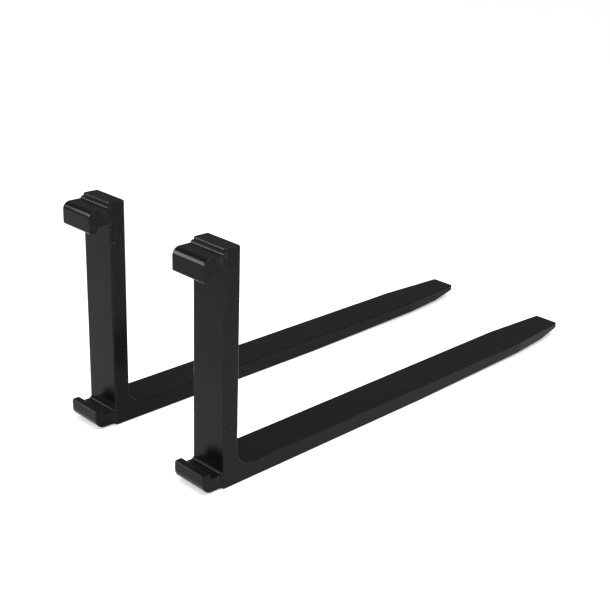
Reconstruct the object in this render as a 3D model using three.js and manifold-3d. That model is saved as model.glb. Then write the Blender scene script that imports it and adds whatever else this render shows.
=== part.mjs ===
// A pair of hook-type lift forks.
//
// Millimetres. +X runs forward to the blade tips, +Y to the left, +Z up. The forks stand on their
// blades at z = 0, and the origin is the centre of the pair's footprint on that floor.
//
// Each fork is a flat bar bent to an L, the tine, with two hooks welded behind its shank. They hang
// it on the two bars of a lift carriage. Four weld beads hold each hook: one above, one below and
// one at each end, all lying in a bevel ground round the hook's front face.

import * as THREE from 'three';
import { mergeVertices } from 'three/addons/utils/BufferGeometryUtils.js';
import Module from 'manifold-3d';

// Tine
const forkWidth = 100;
const barThickness = 40;
const bladeLength = 1220; // from the shank's front face to the tip
const shankHeight = 540;
const heelInnerRadius = 42;
const heelOuterRadius = 6;
const shankTopRadius = 5;
const barEdgeRadius = 4; // less than the other outer radii, which it rolls round

// Blade tip: a long shallow taper under the blade, then a short steep one, and a narrowed plan
const taperLength = 620;
const taperRise = 11;
const noseLength = 85;
const tipThickness = 16;
const noseRadius = 7;
const tipTopRadius = 5;
const planTaperLength = 205;
const tipWidth = 70;
const tipCornerRadius = 8;

// Both hooks
const hookDepth = 53; // behind the shank's rear face
const lipThickness = 20;
const slotCornerRadius = 3;
const hookEdgeRadius = 2;

// Top hook
const topHookDrop = 12; // below the shank's top
const topHookThickness = 38; // above the slot's roof
const topLipLength = 13; // below the slot's roof
const topHookRearRadius = 18;
const topLipRadius = 6;

// Bottom hook
const bottomHookInset = 3; // at each end, from the shank's sides
const bottomHookLift = 5; // above the floor
const bottomHookThickness = 33; // below the channel's floor
const bottomLipLength = 13; // above the channel's floor
const bottomHookRearRadius = 25;
const bottomLipRadius = 4;

// Welds
const weldBevel = 6; // leg of the 45 degree bevel round a hook's front face
const upperWeldLeg = 5; // how far an upper bead climbs the shank
const weldCrown = 1.2; // how far a bead bulges past the straight line between its toes
const gap = 0.3; // between pieces that touch

// The pair
const forkSpacing = 380; // between the forks' centre planes

const overallLength = barThickness + bladeLength;
const footprintCentreX = (overallLength - hookDepth) / 2;
const roofZ = shankHeight - topHookDrop - topHookThickness;
const channelZ = bottomHookLift + bottomHookThickness;

const steelBlack = { color: 0x1d1e20, roughness: 0.42, metalness: 0.3 };
const hookBlack = { color: 0x202124, roughness: 0.38, metalness: 0.3 };
const weldBlack = { color: 0x26272a, roughness: 0.5, metalness: 0.3 };

const wasm = await Module();
wasm.setup();

const axisX = new THREE.Vector3(1, 0, 0);
const axisY = new THREE.Vector3(0, 1, 0);
const axisZ = new THREE.Vector3(0, 0, 1);
const rearward = axisX.clone().negate();
const rightward = axisY.clone().negate();
const downward = axisZ.clone().negate();

// A closed outline through [x, y, radius] corners, listed anticlockwise. Each corner with a radius
// is rounded by an arc that meets both its sides.
function outline(corners) {
  const shape = new THREE.Shape();
  corners.forEach(([x, y, radius = 0], index) => {
    const corner = new THREE.Vector2(x, y);
    const [beforeX, beforeY] = corners.at(index - 1);
    const [afterX, afterY] = corners[(index + 1) % corners.length];
    const back = new THREE.Vector2(beforeX, beforeY).sub(corner).normalize();
    const ahead = new THREE.Vector2(afterX, afterY).sub(corner).normalize();
    const halfAngle = Math.acos(back.dot(ahead)) / 2;
    const start = corner.clone().addScaledVector(back, radius / Math.tan(halfAngle));
    if (index === 0) {
      shape.moveTo(start.x, start.y);
    } else if (radius === 0) {
      shape.lineTo(start.x, start.y);
    }
    if (radius > 0) {
      const end = corner.clone().addScaledVector(ahead, radius / Math.tan(halfAngle));
      const inward = back.clone().add(ahead).normalize();
      const centre = corner.clone().addScaledVector(inward, radius / Math.sin(halfAngle));
      const startAngle = start.sub(centre).angle();
      const endAngle = end.sub(centre).angle();
      const turnsRight = back.cross(ahead) > 0;
      shape.absarc(centre.x, centre.y, radius, startAngle, endAngle, turnsRight);
    }
  });
  return shape;
}

// A straight bar of one section. The section's first and second axes lie along across and up, and
// the bar runs from start along their cross product. Its end edges are rounded by edgeRadius.
function bar(section, across, up, start, length, edgeRadius = 0) {
  const geometry = new THREE.ExtrudeGeometry(section, {
    depth: length - 2 * edgeRadius,
    curveSegments: 8,
    bevelEnabled: edgeRadius > 0,
    bevelThickness: edgeRadius,
    bevelSize: edgeRadius,
    bevelOffset: -edgeRadius,
    bevelSegments: 3,
  });
  const along = across.clone().cross(up);
  geometry.translate(0, 0, edgeRadius);
  geometry.applyMatrix4(new THREE.Matrix4().makeBasis(across, up, along).setPosition(start));
  return geometry;
}

function toSolid(geometry) {
  const bare = geometry.clone();
  bare.deleteAttribute('normal');
  bare.deleteAttribute('uv');
  const merged = mergeVertices(bare, 1e-4);
  return new wasm.Manifold(new wasm.Mesh({
    numProp: 3,
    vertProperties: new Float32Array(merged.attributes.position.array),
    triVerts: new Uint32Array(merged.index.array),
  }));
}

function toGeometry(solid) {
  const mesh = solid.getMesh();
  const geometry = new THREE.BufferGeometry();
  geometry.setAttribute('position', new THREE.BufferAttribute(mesh.vertProperties, 3));
  geometry.setIndex(new THREE.BufferAttribute(mesh.triVerts, 1));
  geometry.computeVertexNormals();
  return geometry;
}

// Here x = 0 is the shank's rear face and y = 0 the fork's centre plane.
function tineGeometry() {
  const side = outline([
    [0, 0, heelOuterRadius],
    [overallLength - taperLength, 0],
    [overallLength - noseLength, taperRise],
    [overallLength, barThickness - tipThickness, noseRadius],
    [overallLength, barThickness, tipTopRadius],
    [barThickness, barThickness, heelInnerRadius],
    [barThickness, shankHeight, shankTopRadius],
    [0, shankHeight, shankTopRadius],
  ]);
  const leftFace = new THREE.Vector3(0, forkWidth / 2, 0);
  const flatBar = bar(side, axisX, axisZ, leftFace, forkWidth, barEdgeRadius);

  const margin = 10;
  const shoulderX = overallLength - planTaperLength;
  const plan = outline([
    [-margin, -forkWidth / 2 - margin],
    [shoulderX, -forkWidth / 2 - margin],
    [shoulderX, -forkWidth / 2],
    [overallLength, -tipWidth / 2, tipCornerRadius],
    [overallLength, tipWidth / 2, tipCornerRadius],
    [shoulderX, forkWidth / 2],
    [shoulderX, forkWidth / 2 + margin],
    [-margin, forkWidth / 2 + margin],
  ]);
  const below = new THREE.Vector3(0, 0, -margin);
  const planBlock = bar(plan, axisX, axisY, below, shankHeight + 2 * margin);
  return toGeometry(toSolid(flatBar).intersect(toSolid(planBlock)));
}

// Grinds the weld bevel off both ends of a hook's front face.
function bevelledEnds(hook, halfWidth, lowZ, highZ) {
  const margin = 1;
  const cutter = outline([
    [gap - margin, -weldBevel - margin],
    [gap + weldBevel + margin, margin],
    [gap - margin, margin],
  ]);
  const length = highZ - lowZ + 2 * margin;
  const leftTop = new THREE.Vector3(0, halfWidth, highZ + margin);
  const rightBottom = new THREE.Vector3(0, -halfWidth, lowZ - margin);
  const leftCutter = toSolid(bar(cutter, rearward, axisY, leftTop, length));
  const rightCutter = toSolid(bar(cutter, rearward, rightward, rightBottom, length));
  return toGeometry(toSolid(hook).subtract(leftCutter).subtract(rightCutter));
}

function topHookGeometry() {
  const topZ = shankHeight - topHookDrop;
  const lipZ = roofZ - topLipLength;
  const section = outline([
    [-gap, roofZ + weldBevel],
    [-gap, topZ - weldBevel],
    [-gap - weldBevel, topZ],
    [-hookDepth, topZ, topHookRearRadius],
    [-hookDepth, lipZ, topLipRadius],
    [-hookDepth + lipThickness, lipZ, topLipRadius],
    [-hookDepth + lipThickness, roofZ, slotCornerRadius],
    [-gap - weldBevel, roofZ],
  ]);
  const start = new THREE.Vector3(0, forkWidth / 2, 0);
  const hook = bar(section, axisX, axisZ, start, forkWidth, hookEdgeRadius);
  return bevelledEnds(hook, forkWidth / 2, lipZ, topZ);
}

function bottomHookGeometry() {
  const halfWidth = forkWidth / 2 - bottomHookInset;
  const lipZ = channelZ + bottomLipLength;
  const section = outline([
    [-gap, bottomHookLift + weldBevel],
    [-gap, channelZ - weldBevel],
    [-gap - weldBevel, channelZ],
    [-hookDepth + lipThickness, channelZ, slotCornerRadius],
    [-hookDepth + lipThickness, lipZ, bottomLipRadius],
    [-hookDepth, lipZ, bottomLipRadius],
    [-hookDepth, bottomHookLift, bottomHookRearRadius],
    [-gap - weldBevel, bottomHookLift],
  ]);
  const start = new THREE.Vector3(0, halfWidth, 0);
  const hook = bar(section, axisX, axisZ, start, 2 * halfWidth, hookEdgeRadius);
  return bevelledEnds(hook, halfWidth, bottomHookLift, lipZ);
}

// A bead's section. Its first axis is the distance from the shank and its second the height above
// the hook's surface. The root lies in the bevel, and the toes lie on the shank and on the hook.
function beadSection(leg, crown) {
  const bevelGap = gap * Math.SQRT2;
  const hookToe = new THREE.Vector2(gap + weldBevel - bevelGap, 0);
  const shankToe = new THREE.Vector2(gap, leg);
  const shape = new THREE.Shape();
  shape.moveTo(gap, bevelGap - weldBevel);
  shape.lineTo(hookToe.x, hookToe.y);
  if (crown > 0) {
    const outward = new THREE.Vector2(leg, hookToe.x - shankToe.x).normalize();
    const control = hookToe.clone().add(shankToe).divideScalar(2).addScaledVector(outward, 2 * crown);
    shape.quadraticCurveTo(control.x, control.y, shankToe.x, shankToe.y);
  } else {
    shape.lineTo(shankToe.x, shankToe.y);
  }
  return shape;
}

// The section of a bead ground flush at a hook's end. It also fills the corner that the shank's
// rounded edge leaves open, so its outer face runs level from the hook's end to the shank's side.
function flushEndSection() {
  const bevelGap = gap * Math.SQRT2;
  const fillRadius = barEdgeRadius + gap;
  const toeAngle = Math.asin(barEdgeRadius / fillRadius);
  const shape = new THREE.Shape();
  shape.moveTo(gap, bevelGap - weldBevel);
  shape.lineTo(gap + weldBevel - bevelGap, 0);
  shape.absarc(-barEdgeRadius, -barEdgeRadius, fillRadius, toeAngle, 0, true);
  return shape;
}

// A bead at a hook's end, mitred at 45 degrees where it meets the beads above and below.
function endBeadGeometry(bead, halfWidth, lowZ, highZ) {
  const margin = 2;
  const cutter = outline([
    [-barEdgeRadius - margin, -weldBevel],
    [gap, -weldBevel],
    [gap + weldBevel + margin, margin],
    [-barEdgeRadius - margin, margin],
  ]);
  const reach = halfWidth + margin;
  const rightTop = new THREE.Vector3(0, -reach, highZ);
  const leftBottom = new THREE.Vector3(0, reach, lowZ);
  const above = toSolid(bar(cutter, rearward, axisZ, rightTop, 2 * reach));
  const below = toSolid(bar(cutter, rearward, downward, leftBottom, 2 * reach));
  return toGeometry(toSolid(bead).subtract(above).subtract(below));
}

// The four beads round one hook, named after it.
function weldGeometries(hookName, halfWidth, lowZ, highZ, endSection) {
  const upper = beadSection(upperWeldLeg, weldCrown);
  const lower = beadSection(0, 0);
  const side = halfWidth - hookEdgeRadius;
  const height = highZ - lowZ;
  const at = (y, z) => new THREE.Vector3(0, y, z);
  const leftEnd = bar(endSection, rearward, axisY, at(halfWidth, highZ), height);
  const rightEnd = bar(endSection, rearward, rightward, at(-halfWidth, lowZ), height);
  return {
    [`${hookName}_upper_weld`]: bar(upper, rearward, axisZ, at(-side, highZ), 2 * side),
    [`${hookName}_lower_weld`]: bar(lower, rearward, downward, at(side, lowZ), 2 * side),
    [`${hookName}_left_weld`]: endBeadGeometry(leftEnd, halfWidth, lowZ, highZ),
    [`${hookName}_right_weld`]: endBeadGeometry(rightEnd, halfWidth, lowZ, highZ),
  };
}

function named(name, geometry, finish) {
  const mesh = new THREE.Mesh(geometry, new THREE.MeshStandardMaterial(finish));
  mesh.name = name;
  return mesh;
}

function fork(side) {
  const group = new THREE.Group();
  const topHookZ = shankHeight - topHookDrop;
  const bottomHalfWidth = forkWidth / 2 - bottomHookInset;
  const crownedEnd = beadSection(0, weldCrown);
  const welds = {
    ...weldGeometries('top_hook', forkWidth / 2, roofZ, topHookZ, flushEndSection()),
    ...weldGeometries('bottom_hook', bottomHalfWidth, bottomHookLift, channelZ, crownedEnd),
  };
  group.add(named(`${side}_tine`, tineGeometry(), steelBlack));
  group.add(named(`${side}_top_hook`, topHookGeometry(), hookBlack));
  group.add(named(`${side}_bottom_hook`, bottomHookGeometry(), hookBlack));
  for (const [name, geometry] of Object.entries(welds)) {
    group.add(named(`${side}_${name}`, geometry, weldBlack));
  }
  return group;
}

const forkPair = new THREE.Group();
const leftFork = fork('left');
const rightFork = fork('right');
leftFork.position.set(-footprintCentreX, forkSpacing / 2, 0);
rightFork.position.set(-footprintCentreX, -forkSpacing / 2, 0);
forkPair.add(leftFork, rightFork);

export default forkPair;
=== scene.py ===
"""A pair of hook-type lift forks, given the fine surface and the black paint of the real ones."""

import math

import bmesh
import bpy
from mathutils import Matrix, Quaternion, Vector, noise


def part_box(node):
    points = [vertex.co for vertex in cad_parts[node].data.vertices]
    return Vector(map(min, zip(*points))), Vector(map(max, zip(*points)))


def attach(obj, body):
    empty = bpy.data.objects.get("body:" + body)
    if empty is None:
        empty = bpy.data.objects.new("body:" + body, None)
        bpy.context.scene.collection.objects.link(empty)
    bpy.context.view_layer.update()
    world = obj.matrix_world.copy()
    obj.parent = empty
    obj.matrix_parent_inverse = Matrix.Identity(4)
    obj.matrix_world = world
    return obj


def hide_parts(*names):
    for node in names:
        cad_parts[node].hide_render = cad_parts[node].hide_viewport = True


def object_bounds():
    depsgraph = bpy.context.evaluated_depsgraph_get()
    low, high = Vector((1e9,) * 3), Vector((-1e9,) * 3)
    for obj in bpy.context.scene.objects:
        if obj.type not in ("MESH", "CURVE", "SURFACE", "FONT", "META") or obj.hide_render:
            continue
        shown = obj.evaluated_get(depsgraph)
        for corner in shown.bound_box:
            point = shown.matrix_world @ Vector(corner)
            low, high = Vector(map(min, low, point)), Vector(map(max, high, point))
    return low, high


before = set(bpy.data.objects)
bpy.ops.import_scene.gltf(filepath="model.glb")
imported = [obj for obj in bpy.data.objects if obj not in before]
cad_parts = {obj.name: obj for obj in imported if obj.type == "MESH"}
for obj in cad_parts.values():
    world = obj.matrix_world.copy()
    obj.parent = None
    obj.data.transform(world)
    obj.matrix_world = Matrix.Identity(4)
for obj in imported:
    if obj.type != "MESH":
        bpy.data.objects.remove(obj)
cad_low, cad_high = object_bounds()


# Tines: each fork's body is one flat bar of alloy steel, bent hot into shank, heel and blade and
# rolled thin towards the tip. It is shot-blasted and sprayed satin black, and the faint waves of
# the forging and the grain of the blasting still show in the paint.

SIDES = ("left", "right")

bar_thickness = 0.040
heel_inner_radius = 0.042
heel_outer_radius = 0.006
shank_top_radius = 0.005
bar_edge_radius = 0.004
bar_edge_segments = 5
underside_taper_length = 0.620
underside_taper_rise = 0.011
nose_length = 0.085
tip_thickness = 0.016
nose_radius = 0.007
tip_top_radius = 0.005
plan_taper_length = 0.205
tip_width = 0.070
tip_corner_radius = 0.008
tip_corner_slices = 6
slice_spacing = 0.010
slice_margin = 0.001
shank_top_margin = 0.006
forging_wave_depth = 0.00018
forging_wave_length = 0.055


def rounded_profile(corners):
    """A flat face in the XZ plane. Each corner is (x, z, radius), and an arc rounds it."""
    arc_step = 0.0018
    fewest_segments = 4
    mesh = bmesh.new()
    points = [mesh.verts.new((x, 0, z)) for x, z, radius in corners]
    mesh.faces.new(points)
    for index, point in enumerate(points):
        x, z, radius = corners[index]
        if radius > 0:
            before = Vector(corners[index - 1][:2]) - Vector((x, z))
            after = Vector(corners[(index + 1) % len(corners)][:2]) - Vector((x, z))
            angle = before.angle(after)
            reach = radius / math.tan(angle / 2)
            segments = max(fewest_segments, math.ceil(radius * (math.pi - angle) / arc_step))
            bmesh.ops.bevel(mesh, geom=[point], offset=reach, offset_type="OFFSET",
                            segments=segments, profile=0.5, affect="VERTICES", material=-1)
    return mesh


def widen(mesh, low_y, high_y):
    """Stretches a flat profile into a closed bar from low_y to high_y."""
    bmesh.ops.translate(mesh, verts=mesh.verts, vec=(0, low_y, 0))
    grown = bmesh.ops.extrude_face_region(mesh, geom=mesh.faces[:])["geom"]
    far_side = [part for part in grown if isinstance(part, bmesh.types.BMVert)]
    bmesh.ops.translate(mesh, verts=far_side, vec=(0, high_y - low_y, 0))
    bmesh.ops.recalc_face_normals(mesh, faces=mesh.faces)


def round_rims(mesh, radius, segments):
    """Rounds the edges round both flat ends of a bar."""
    facing_sideways = 0.99
    rims = [
        edge for edge in mesh.edges
        if sum(abs(face.normal.y) > facing_sideways for face in edge.link_faces) == 1
    ]
    bmesh.ops.bevel(mesh, geom=rims, offset=radius, offset_type="OFFSET", segments=segments,
                    profile=0.5, affect="EDGES", material=-1)


def slice_across(mesh, axis, places):
    """Cuts the faces of a mesh where they cross the planes at these places along an axis."""
    for place in places:
        bmesh.ops.bisect_plane(mesh, geom=mesh.verts[:] + mesh.edges[:] + mesh.faces[:],
                               plane_co=axis * place, plane_no=axis)


def evenly(low, high, spacing):
    """Places between low and high, both left out, at most spacing apart."""
    count = math.ceil((high - low) / spacing)
    return [low + (high - low) * number / count for number in range(1, count)]


def wave(mesh, depth, length):
    """Sinks a surface by up to depth in soft waves of about this length."""
    mesh.normal_update()
    for vertex, normal in [(vertex, vertex.normal.copy()) for vertex in mesh.verts]:
        vertex.co -= normal * depth * (0.5 + 0.5 * noise.noise(vertex.co / length))


def finish_piece(mesh, name, material, node, side):
    """Makes a piece of a mesh, standing for a CAD node, with "edge" at 1 along its round edges."""
    least_turn = math.radians(12)
    full_turn = math.radians(17)
    sharp_turn = math.radians(40)
    edge = mesh.verts.layers.float.new("edge")
    for vertex in mesh.verts:
        turns = [link.calc_face_angle_signed(0) for link in vertex.link_edges]
        turn = max((turn for turn in turns if turn < sharp_turn), default=0)
        vertex[edge] = min(1, max(0, (turn - least_turn) / (full_turn - least_turn)))
    data = bpy.data.meshes.new(name)
    mesh.to_mesh(data)
    mesh.free()
    data.shade_smooth()
    data.set_sharp_from_angle(angle=sharp_turn)
    data.materials.append(material)
    piece = bpy.data.objects.new(name, data)
    bpy.context.scene.collection.objects.link(piece)
    normals = piece.modifiers.new("flat faces stay flat", "WEIGHTED_NORMAL")
    normals.keep_sharp = True
    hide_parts(node)
    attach(piece, f"{side}_fork")


def add_node(tree, kind, inputs=None, **settings):
    """Adds a shader node, and sets or links its inputs."""
    node = tree.nodes.new(kind)
    for key, value in settings.items():
        setattr(node, key, value)
    for key, value in (inputs or {}).items():
        if isinstance(value, bpy.types.NodeSocket):
            tree.links.new(value, node.inputs[key])
        else:
            node.inputs[key].default_value = value
    return node


def noise_value(tree, place, size, detail, roughness=0.55):
    """A random value from 0 to 1 whose patches are about this size, in metres."""
    inputs = {"Vector": place, "Scale": 1 / size, "Detail": detail, "Roughness": roughness}
    return add_node(tree, "ShaderNodeTexNoise", inputs).outputs["Fac"]


def ranged(tree, value, low, high, new_low, new_high):
    """Maps a value from one range to another, and holds it inside the new one."""
    inputs = {
        "Value": value,
        "From Min": low,
        "From Max": high,
        "To Min": new_low,
        "To Max": new_high,
    }
    return add_node(tree, "ShaderNodeMapRange", inputs).outputs["Result"]


def combine(tree, operation, first, second):
    """One sum, difference or product of two values."""
    inputs = {0: first, 1: second}
    return add_node(tree, "ShaderNodeMath", inputs, operation=operation).outputs[0]


def black_paint(name, tone, gloss_roughness, grain_depth, dent_depth, stretch=(1, 1, 1)):
    """Sprayed satin black: cloudy in tone and gloss, grained, paler on edges from thin, rubbed
    paint and a painted highlight, specked with dust.
    """
    # The size of each kind of patch, in metres, and the noise values that it fades in between.
    cloud_size = 0.090
    cloud_span = (0.35, 0.65)
    mottle_size = 0.011
    mottle_span = (0.3, 0.7)
    grain_size = 0.0016
    rub_size = 0.018
    rub_span = (0.42, 0.62)
    dusty_size = 0.060
    dusty_span = (0.50, 0.62)
    speck_size = 0.0034
    speck_span = (0.735, 0.775)

    tone_spread = 0.12
    # The two edge tones are partly thin, rubbed paint and partly a painted highlight along rounded
    # edges.
    thin_paint_and_sheen_tone = 0.0035
    worn_paint_and_sheen_tone = 0.004
    speck_tone = 0.10
    mottle_gloss = 0.03
    cloud_gloss = 0.02
    worn_gloss = 0.06
    paint_ior = 1.5
    paint_specular = 0.066

    material = bpy.data.materials.new(name)
    material.use_nodes = True
    tree = material.node_tree
    shader = tree.nodes["Principled BSDF"]
    place = add_node(tree, "ShaderNodeTexCoord").outputs["Object"]
    stretched = {"Vector": place, "Scale": stretch}
    along = add_node(tree, "ShaderNodeMapping", stretched).outputs["Vector"]

    cloud = noise_value(tree, place, cloud_size, detail=6)
    mottle = noise_value(tree, along, mottle_size, detail=5, roughness=0.6)
    grain = noise_value(tree, along, grain_size, detail=3)
    base = ranged(tree, cloud, *cloud_span, tone * (1 - tone_spread), tone * (1 + tone_spread))

    edge = add_node(tree, "ShaderNodeAttribute", attribute_name="edge").outputs["Fac"]
    rub = noise_value(tree, place, rub_size, detail=5, roughness=0.65)
    worn = combine(tree, "MULTIPLY", edge, ranged(tree, rub, *rub_span, 0, 1))
    # Edges are made paler: partly thin, rubbed paint, and partly a painted highlight that lightens
    # rounded edges the lamps leave dark.
    thin_paint_and_sheen = combine(tree, "MULTIPLY", edge, thin_paint_and_sheen_tone)
    edge_wear_and_sheen_tone = combine(tree, "ADD", thin_paint_and_sheen, combine(tree, "MULTIPLY", worn, worn_paint_and_sheen_tone))

    dust = noise_value(tree, place, dusty_size, detail=2)
    dusty = ranged(tree, dust, *dusty_span, 0, 1)
    speck = noise_value(tree, place, speck_size, detail=1)
    specks = ranged(tree, speck, *speck_span, 0, speck_tone)
    dust_tone = combine(tree, "MULTIPLY", dusty, specks)
    colour = combine(tree, "ADD", combine(tree, "ADD", base, edge_wear_and_sheen_tone), dust_tone)
    tree.links.new(colour, shader.inputs["Base Color"])

    glossiest = gloss_roughness - mottle_gloss
    dullest = gloss_roughness + mottle_gloss
    patchy = ranged(tree, mottle, *mottle_span, glossiest, dullest)
    drier = ranged(tree, cloud, *cloud_span, -cloud_gloss, cloud_gloss)
    rough = combine(tree, "ADD", patchy, drier)
    polished = combine(tree, "SUBTRACT", rough, combine(tree, "MULTIPLY", worn, worn_gloss))
    tree.links.new(polished, shader.inputs["Roughness"])

    dents = {"Height": mottle, "Strength": 1, "Distance": dent_depth}
    dented = add_node(tree, "ShaderNodeBump", dents).outputs["Normal"]
    grains = {"Height": grain, "Strength": 1, "Distance": grain_depth, "Normal": dented}
    skin = add_node(tree, "ShaderNodeBump", grains).outputs["Normal"]
    tree.links.new(skin, shader.inputs["Normal"])
    shader.inputs["IOR"].default_value = paint_ior
    shader.inputs["Specular IOR Level"].default_value = paint_specular
    return material


tine_black = black_paint("tine satin black", tone=0.0042, gloss_roughness=0.22,
                         grain_depth=0.000012, dent_depth=0.00004)
lengthwise = Vector((1, 0, 0))
across = Vector((0, 1, 0))
upright = Vector((0, 0, 1))

for side in SIDES:
    low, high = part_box(f"{side}_tine")
    shank_front = low.x + bar_thickness
    blade_top = low.z + bar_thickness
    tine = rounded_profile([
        (low.x, low.z, heel_outer_radius),
        (high.x - underside_taper_length, low.z, 0),
        (high.x - nose_length, low.z + underside_taper_rise, 0),
        (high.x, blade_top - tip_thickness, nose_radius),
        (high.x, blade_top, tip_top_radius),
        (shank_front, blade_top, heel_inner_radius),
        (shank_front, high.z, shank_top_radius),
        (low.x, high.z, shank_top_radius),
    ])
    widen(tine, low.y, high.y)
    round_rims(tine, bar_edge_radius, bar_edge_segments)

    corner_start = high.x - tip_corner_radius
    shoulder = high.x - plan_taper_length
    corner_places = [
        corner_start + tip_corner_radius * math.sin(math.pi / 2 * number / tip_corner_slices)
        for number in range(tip_corner_slices)
    ]
    blade_start = shank_front + heel_inner_radius
    shank_start = blade_top + heel_inner_radius
    shank_end = high.z - shank_top_margin
    flat_low = low.y + bar_edge_radius + slice_margin
    flat_high = high.y - bar_edge_radius - slice_margin
    slice_across(tine, lengthwise, [blade_start, *evenly(blade_start, shoulder, slice_spacing)])
    slice_across(tine, lengthwise, [shoulder, *evenly(shoulder, corner_start, slice_spacing)])
    slice_across(tine, lengthwise, corner_places)
    slice_across(tine, upright, [shank_start, *evenly(shank_start, shank_end, slice_spacing)])
    slice_across(tine, across, [flat_low, flat_high])
    slice_across(tine, across, evenly(flat_low, flat_high, slice_spacing))

    # The blade narrows in plan from its shoulder to the tip, and the tip's corners are rounded.
    centre_y = (low.y + high.y) / 2
    full_half = (high.y - low.y) / 2
    for vertex in tine.verts:
        past = max(0, vertex.co.x - shoulder) / plan_taper_length
        half = full_half + (tip_width / 2 - full_half) * past
        into_corner = max(0, vertex.co.x - corner_start)
        half -= tip_corner_radius - math.sqrt(max(0, tip_corner_radius ** 2 - into_corner ** 2))
        vertex.co.y = centre_y + (vertex.co.y - centre_y) * half / full_half

    wave(tine, forging_wave_depth, forging_wave_length)
    finish_piece(tine, f"{side}_tine_bar", tine_black, f"{side}_tine", side)


# Top hooks: a block of steel as wide as the shank, machined with a broad round back and a lip that
# drops behind the carriage's upper bar. Its front face is bevelled all round for the welds.

hook_edge_radius = 0.002
hook_edge_segments = 4
weld_bevel = 0.006
lip_thickness = 0.020
slot_corner_radius = 0.003
top_lip_length = 0.013
top_hook_rear_radius = 0.018
top_lip_radius = 0.006
hook_slice_spacing = 0.006
hook_wave_depth = 0.00008
hook_wave_length = 0.030


def trim(mesh, point, normal):
    """Cuts off what lies past a plane, and closes the cut."""
    cut = bmesh.ops.bisect_plane(mesh, geom=mesh.verts[:] + mesh.edges[:] + mesh.faces[:],
                                 plane_co=point, plane_no=normal, clear_outer=True)["geom_cut"]
    rim = [part for part in cut if isinstance(part, bmesh.types.BMEdge)]
    bmesh.ops.edgeloop_fill(mesh, edges=rim)


def hook_block(corners, low, high):
    """A hook's block, its edges rounded and the ends of its front face bevelled for the welds."""
    mesh = rounded_profile(corners)
    widen(mesh, low.y, high.y)
    round_rims(mesh, hook_edge_radius, hook_edge_segments)
    flat_low = low.y + hook_edge_radius
    flat_high = high.y - hook_edge_radius
    slice_across(mesh, across, evenly(flat_low, flat_high, hook_slice_spacing))
    trim(mesh, (high.x - weld_bevel, high.y, 0), (1, 1, 0))
    trim(mesh, (high.x - weld_bevel, low.y, 0), (1, -1, 0))
    wave(mesh, hook_wave_depth, hook_wave_length)
    return mesh


hook_black = black_paint("hook satin black", tone=0.0042, gloss_roughness=0.15,
                         grain_depth=0.000008, dent_depth=0.00002)

for side in SIDES:
    low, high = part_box(f"{side}_top_hook")
    roof = low.z + top_lip_length
    lip_front = low.x + lip_thickness
    hook = hook_block([
        (high.x, roof + weld_bevel, 0),
        (high.x, high.z - weld_bevel, 0),
        (high.x - weld_bevel, high.z, 0),
        (low.x, high.z, top_hook_rear_radius),
        (low.x, low.z, top_lip_radius),
        (lip_front, low.z, top_lip_radius),
        (lip_front, roof, slot_corner_radius),
        (high.x - weld_bevel, roof, 0),
    ], low, high)
    finish_piece(hook, f"{side}_top_hook_block", hook_black, f"{side}_top_hook", side)


# Bottom hooks: a thinner and slightly narrower block at the shank's foot, with a round underside at
# the back and a lip that stands up behind the carriage's lower bar.

bottom_lip_length = 0.013
bottom_hook_rear_radius = 0.025
bottom_lip_radius = 0.004

for side in SIDES:
    low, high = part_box(f"{side}_bottom_hook")
    channel = high.z - bottom_lip_length
    lip_front = low.x + lip_thickness
    hook = hook_block([
        (high.x, low.z + weld_bevel, 0),
        (high.x, channel - weld_bevel, 0),
        (high.x - weld_bevel, channel, 0),
        (lip_front, channel, slot_corner_radius),
        (lip_front, high.z, bottom_lip_radius),
        (low.x, high.z, bottom_lip_radius),
        (low.x, low.z, bottom_hook_rear_radius),
        (high.x - weld_bevel, low.z, 0),
    ], low, high)
    finish_piece(hook, f"{side}_bottom_hook_block", hook_black, f"{side}_bottom_hook", side)


# Upper weld beads: one runs along the step over each top hook, and one along the back of each
# bottom hook's channel. They are laid by hand in overlapping pools, which leave curved ripples.

upper_leg = 0.0050
upper_crown = 0.0012
ripple_pitch = 0.0034
ripple_depth = 0.0002
ripple_lag = 0.0024
ripple_level = 0.6
steps_per_ripple = 6
bead_face_cuts = 9
bead_end_length = 0.0030
bead_end_fullness = 0.5
toe_overlap = 0.0002

# A bead's underside lies along the hook's bevel. Its two inner corners lie inside the shank, so at
# its ends it fills what the shank's rounded edges leave.
bead_root = (-bar_edge_radius, -weld_bevel - bar_edge_radius)
hook_toe = (weld_bevel + toe_overlap, 0)
shank_toe = (0, upper_leg)
inner_toe = (-bar_edge_radius, upper_leg - bar_edge_radius)


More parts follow.
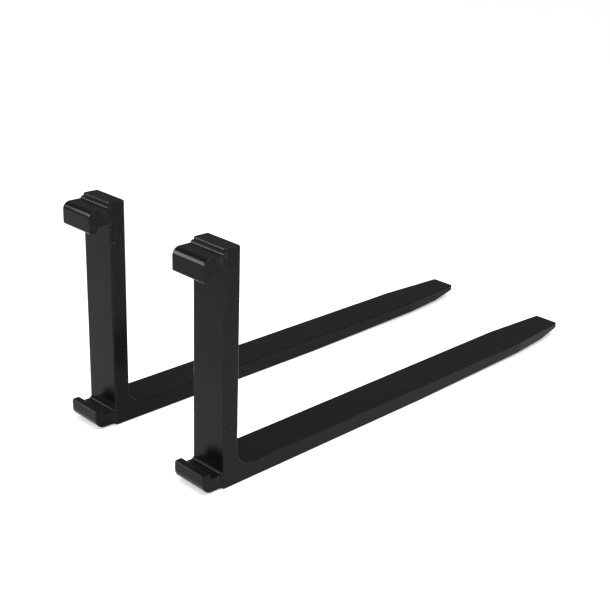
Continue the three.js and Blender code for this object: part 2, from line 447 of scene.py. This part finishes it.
def bead_mesh(corners, crown, length, ripple=ripple_depth):
    """A bead along Z. The side from its second corner to its third bows out by crown."""
    mesh = bmesh.new()
    bowed = mesh.verts.layers.float.new("bowed")
    points = [mesh.verts.new((x, y, 0)) for x, y in corners]
    mesh.faces.new(points)
    outer_side = mesh.edges.get(points[1:3])
    start = points[1].co.copy()
    chord = points[2].co - start
    outward = chord.cross(Vector((0, 0, 1))).normalized()
    cut = bmesh.ops.subdivide_edges(mesh, edges=[outer_side], cuts=bead_face_cuts)["geom_inner"]
    for vertex in [part for part in cut if isinstance(part, bmesh.types.BMVert)]:
        share = (vertex.co - start).dot(chord) / chord.length_squared
        vertex[bowed] = 4 * share * (1 - share)
        vertex.co += outward * crown * vertex[bowed]

    grown = bmesh.ops.extrude_face_region(mesh, geom=mesh.faces[:])["geom"]
    far_end = [part for part in grown if isinstance(part, bmesh.types.BMVert)]
    bmesh.ops.translate(mesh, verts=far_end, vec=(0, 0, length))
    long_edges = [
        edge for edge in mesh.edges
        if abs(edge.verts[0].co.z - edge.verts[1].co.z) > length / 2
    ]
    steps = math.ceil(length / ripple_pitch * steps_per_ripple)
    bmesh.ops.subdivide_edges(mesh, edges=long_edges, cuts=steps, use_grid_fill=True)
    for vertex in mesh.verts:
        pool = (vertex.co.z + ripple_lag * vertex[bowed]) / ripple_pitch
        ridge = abs(math.sin(math.pi * pool)) - ripple_level
        vertex.co += outward * ripple * ridge * vertex[bowed]
    mesh.verts.layers.float.remove(bowed)
    return mesh


def round_ends(mesh, length):
    """Draws the showing side of a bead in towards its corner over its last few millimetres."""
    for vertex in mesh.verts:
        short = 1 - min(1, min(vertex.co.z, length - vertex.co.z) / bead_end_length)
        fullness = bead_end_fullness + (1 - bead_end_fullness) * math.sqrt(1 - short ** 2)
        if vertex.co.x > 0:
            vertex.co.x *= fullness
        if vertex.co.y > 0:
            vertex.co.y *= fullness


def lay_bead(mesh, corner, outward):
    """Moves a bead to where the shank's rear face meets a hook's surface that faces outward."""
    behind = Vector((-1, 0, 0))
    turn = Matrix((behind, outward, behind.cross(outward))).transposed().to_4x4()
    bmesh.ops.transform(mesh, matrix=Matrix.Translation(corner) @ turn, verts=mesh.verts)
    bmesh.ops.recalc_face_normals(mesh, faces=mesh.faces)


# The welds' black is about twice as pale as the tines': a painted sheen that lightens beads facing
# the camera squarely, where they reflect little light.
weld_black_with_painted_sheen = black_paint("weld black with painted sheen", tone=0.0085, gloss_roughness=0.20,
                         grain_depth=0.000012, dent_depth=0.00003)

for side in SIDES:
    shank_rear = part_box(f"{side}_tine")[0].x
    for hook in ("top_hook", "bottom_hook"):
        low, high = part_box(f"{side}_{hook}")
        surface = high.z if hook == "top_hook" else high.z - bottom_lip_length
        length = high.y - low.y
        bead = bead_mesh([bead_root, hook_toe, shank_toe, inner_toe], upper_crown, length)
        if hook == "bottom_hook":
            round_ends(bead, length)
        lay_bead(bead, (shank_rear, low.y, surface), Vector((0, 0, 1)))
        finish_piece(bead, f"{side}_{hook}_upper_bead", weld_black_with_painted_sheen, f"{side}_{hook}_upper_weld",
                     side)


# Lower weld beads: they fill the groove in the corner under each hook, almost level with the hook's
# underside, so that the carriage's bars find a clear corner.

lower_crown = 0.0004
lower_ripple_depth = 0.0001
level_shank_toe = (0, 0)
level_inner_toe = (-bar_edge_radius, 0)

for side in SIDES:
    shank_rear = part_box(f"{side}_tine")[0].x
    for hook in ("top_hook", "bottom_hook"):
        low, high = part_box(f"{side}_{hook}")
        surface = low.z + top_lip_length if hook == "top_hook" else low.z
        length = high.y - low.y
        bead = bead_mesh([bead_root, hook_toe, level_shank_toe, level_inner_toe], lower_crown,
                         length, lower_ripple_depth)
        lay_bead(bead, (shank_rear, high.y, surface), Vector((0, 0, -1)))
        finish_piece(bead, f"{side}_{hook}_lower_bead", weld_black_with_painted_sheen, f"{side}_{hook}_lower_weld",
                     side)


# Side seams of the top hooks: these beads are ground level with the fork's sides. Each fills the
# groove at the hook's end and the corner that the shank's rounded edge leaves, and the grinder's
# fine scratches run up and down under the paint.

seam_sink = 0.00005
seam_outline = [
    (0, -weld_bevel),
    (hook_toe[0], -seam_sink),
    (-bar_edge_radius, -seam_sink),
    (0, -bar_edge_radius),
]
corner_bow = bar_edge_radius * (1 - math.sqrt(0.5))
scratch_stretch = (3, 3, 0.25)

seam_black = black_paint("ground seam satin black", tone=0.0050, gloss_roughness=0.20,
                         grain_depth=0.00001, dent_depth=0.00002, stretch=scratch_stretch)


def mitre(mesh, length):
    """Cuts both ends of a bead along Z at 45 degrees, in line with the bevels of the hook."""
    trim(mesh, (0, 0, weld_bevel), (-1, 0, -1))
    trim(mesh, (0, 0, length - weld_bevel), (-1, 0, 1))


for side in SIDES:
    shank_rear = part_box(f"{side}_tine")[0].x
    low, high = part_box(f"{side}_top_hook")
    roof = low.z + top_lip_length
    length = high.z - roof
    for end in SIDES:
        seam = bmesh.new()
        points = [seam.verts.new((x, y, 0)) for x, y in seam_outline]
        seam.faces.new(points)
        shank_corner = seam.edges.get(points[2:])
        bmesh.ops.subdivide_edges(seam, edges=[shank_corner], cuts=bead_face_cuts)
        for vertex in seam.verts:
            share = -vertex.co.x / bar_edge_radius
            if 0 < share < 1:
                bow = 4 * share * (1 - share) * corner_bow * math.sqrt(0.5)
                vertex.co += Vector((bow, bow, 0))
        grown = bmesh.ops.extrude_face_region(seam, geom=seam.faces[:])["geom"]
        far_end = [part for part in grown if isinstance(part, bmesh.types.BMVert)]
        bmesh.ops.translate(seam, verts=far_end, vec=(0, 0, length))
        mitre(seam, length)
        outward = Vector((0, 1 if end == "left" else -1, 0))
        corner = (shank_rear, high.y, high.z) if end == "left" else (shank_rear, low.y, roof)
        lay_bead(seam, corner, outward)
        finish_piece(seam, f"{side}_top_hook_{end}_seam", seam_black,
                     f"{side}_top_hook_{end}_weld", side)


# End beads of the bottom hooks: the hook is a little narrower than the shank, so these stay as
# welded, crowned and rippled, on the small step at each end.

end_crown = 0.0010
end_leg = 0.0010
end_outline = [(0, -weld_bevel), hook_toe, (-toe_overlap, end_leg)]

for side in SIDES:
    shank_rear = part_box(f"{side}_tine")[0].x
    low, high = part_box(f"{side}_bottom_hook")
    channel = high.z - bottom_lip_length
    length = channel - low.z
    for end in SIDES:
        bead = bead_mesh(end_outline, end_crown, length)
        mitre(bead, length)
        outward = Vector((0, 1 if end == "left" else -1, 0))
        corner = (shank_rear, high.y, channel) if end == "left" else (shank_rear, low.y, low.z)
        lay_bead(bead, corner, outward)
        finish_piece(bead, f"{side}_bottom_hook_{end}_bead", weld_black_with_painted_sheen,
                     f"{side}_bottom_hook_{end}_weld", side)


# Floor: a wide sheet of matt white acrylic, which stands for a studio sweep. It is lit from below
# and glows a little, so it stays white to its far edge and its shadows stay faint.

floor_half = 14
floor_drop = 0.0004
floor_patch_size = 0.4
floor_patch_span = (0.3, 0.7)
floor_tones = (0.84, 0.88)
floor_roughness = 0.9
floor_specular = 0.1
floor_glow = 0.45

sheet = bmesh.new()
bmesh.ops.create_grid(sheet, x_segments=1, y_segments=1, size=floor_half)
bmesh.ops.translate(sheet, verts=sheet.verts, vec=(0, 0, cad_low.z - floor_drop))
floor_mesh = bpy.data.meshes.new("floor")
sheet.to_mesh(floor_mesh)
sheet.free()
floor = bpy.data.objects.new("floor", floor_mesh)
bpy.context.scene.collection.objects.link(floor)
floor_white = bpy.data.materials.new("floor matt white")
floor_white.use_nodes = True
floor_tree = floor_white.node_tree
floor_shader = floor_tree.nodes["Principled BSDF"]
floor_place = add_node(floor_tree, "ShaderNodeTexCoord").outputs["Object"]
floor_patches = noise_value(floor_tree, floor_place, floor_patch_size, detail=3)
floor_tone = ranged(floor_tree, floor_patches, *floor_patch_span, *floor_tones)
floor_tree.links.new(floor_tone, floor_shader.inputs["Base Color"])
floor_shader.inputs["Roughness"].default_value = floor_roughness
floor_shader.inputs["Emission Color"].default_value = (1, 1, 1, 1)
floor_shader.inputs["Emission Strength"].default_value = floor_glow
floor_shader.inputs["Specular IOR Level"].default_value = floor_specular
floor_mesh.materials.append(floor_white)


# Light: a high, very broad light, a soft box above the forks on the right, and a tall, narrow strip
# box behind them on the left, leaned over, which draws the bright lines along rounded edges. The
# room is dim to a little above the horizon, and paler from there up.

focus = (cad_low + cad_high) / 2
sky_energy = 0.8
sky_spread = math.radians(60)
strip_lean = math.radians(33)
room_heights = (0.27, 0.42)
room_tones = (0.13, 0.39)

sky_light = bpy.data.lights.new("high broad light", "SUN")
sky_light.energy = sky_energy
sky_light.angle = sky_spread
sky = bpy.data.objects.new("high broad light", sky_light)
bpy.context.scene.collection.objects.link(sky)


def soft_box(name, toward, distance, width, height, power, lean=0.0):
    """An area light this far from the forks, turned to face them and leaned over to one side."""
    light = bpy.data.lights.new(name, "AREA")
    light.shape = "RECTANGLE"
    light.size = width
    light.size_y = height
    light.energy = power
    lamp = bpy.data.objects.new(name, light)
    direction = Vector(toward).normalized()
    lamp.location = focus + direction * distance
    lamp.rotation_mode = "QUATERNION"
    turn = direction.to_track_quat("Z", "Y")
    turn.rotate(Quaternion(direction, lean))
    lamp.rotation_quaternion = turn
    bpy.context.scene.collection.objects.link(lamp)


soft_box("side soft box", toward=(-0.46, -0.78, 0.90), distance=1.9, width=1.0, height=1.0,
         power=41)
soft_box("rear left strip box", toward=(-0.66, 0.68, 0.33), distance=6.0, width=1.0, height=2.9,
         power=180, lean=strip_lean)

room = bpy.data.worlds.new("studio room")
bpy.context.scene.world = room
room.use_nodes = True
room_tree = room.node_tree
room_direction = add_node(room_tree, "ShaderNodeTexCoord").outputs["Generated"]
room_axes = add_node(room_tree, "ShaderNodeSeparateXYZ", {"Vector": room_direction})
room_glow = ranged(room_tree, room_axes.outputs["Z"], *room_heights, *room_tones)
room_tree.links.new(room_glow, room_tree.nodes["Background"].inputs["Color"])


# Camera: it stands behind the forks, on the right, and looks down on them, tilted a little to one
# side. Its yaw turns from +X towards +Y, and its lens is shifted a little off centre.

camera_place = Vector((-1.9763, -1.8207, 1.2746))
camera_yaw = math.radians(43.612)
camera_pitch = math.radians(22.501)
camera_roll = math.radians(2.657)
sensor_width_mm = 36
focal_length_mm = 67.44
lens_shift = (-0.0328, 0.0164)

lens_data = bpy.data.cameras.new("camera")
lens_data.sensor_width = sensor_width_mm
lens_data.lens = focal_length_mm
lens_data.shift_x, lens_data.shift_y = lens_shift
camera = bpy.data.objects.new("camera", lens_data)
bpy.context.scene.collection.objects.link(camera)
forward = Vector((
    math.cos(camera_yaw) * math.cos(camera_pitch),
    math.sin(camera_yaw) * math.cos(camera_pitch),
    -math.sin(camera_pitch),
))
level_right = Vector((math.sin(camera_yaw), -math.cos(camera_yaw), 0))
level_up = level_right.cross(forward)
right = level_right * math.cos(camera_roll) + level_up * math.sin(camera_roll)
up = level_up * math.cos(camera_roll) - level_right * math.sin(camera_roll)
camera_turn = Matrix((right, up, -forward)).transposed().to_4x4()
camera.matrix_world = Matrix.Translation(camera_place) @ camera_turn
bpy.context.scene.camera = camera
bpy.context.scene.view_settings.view_transform = "Standard"
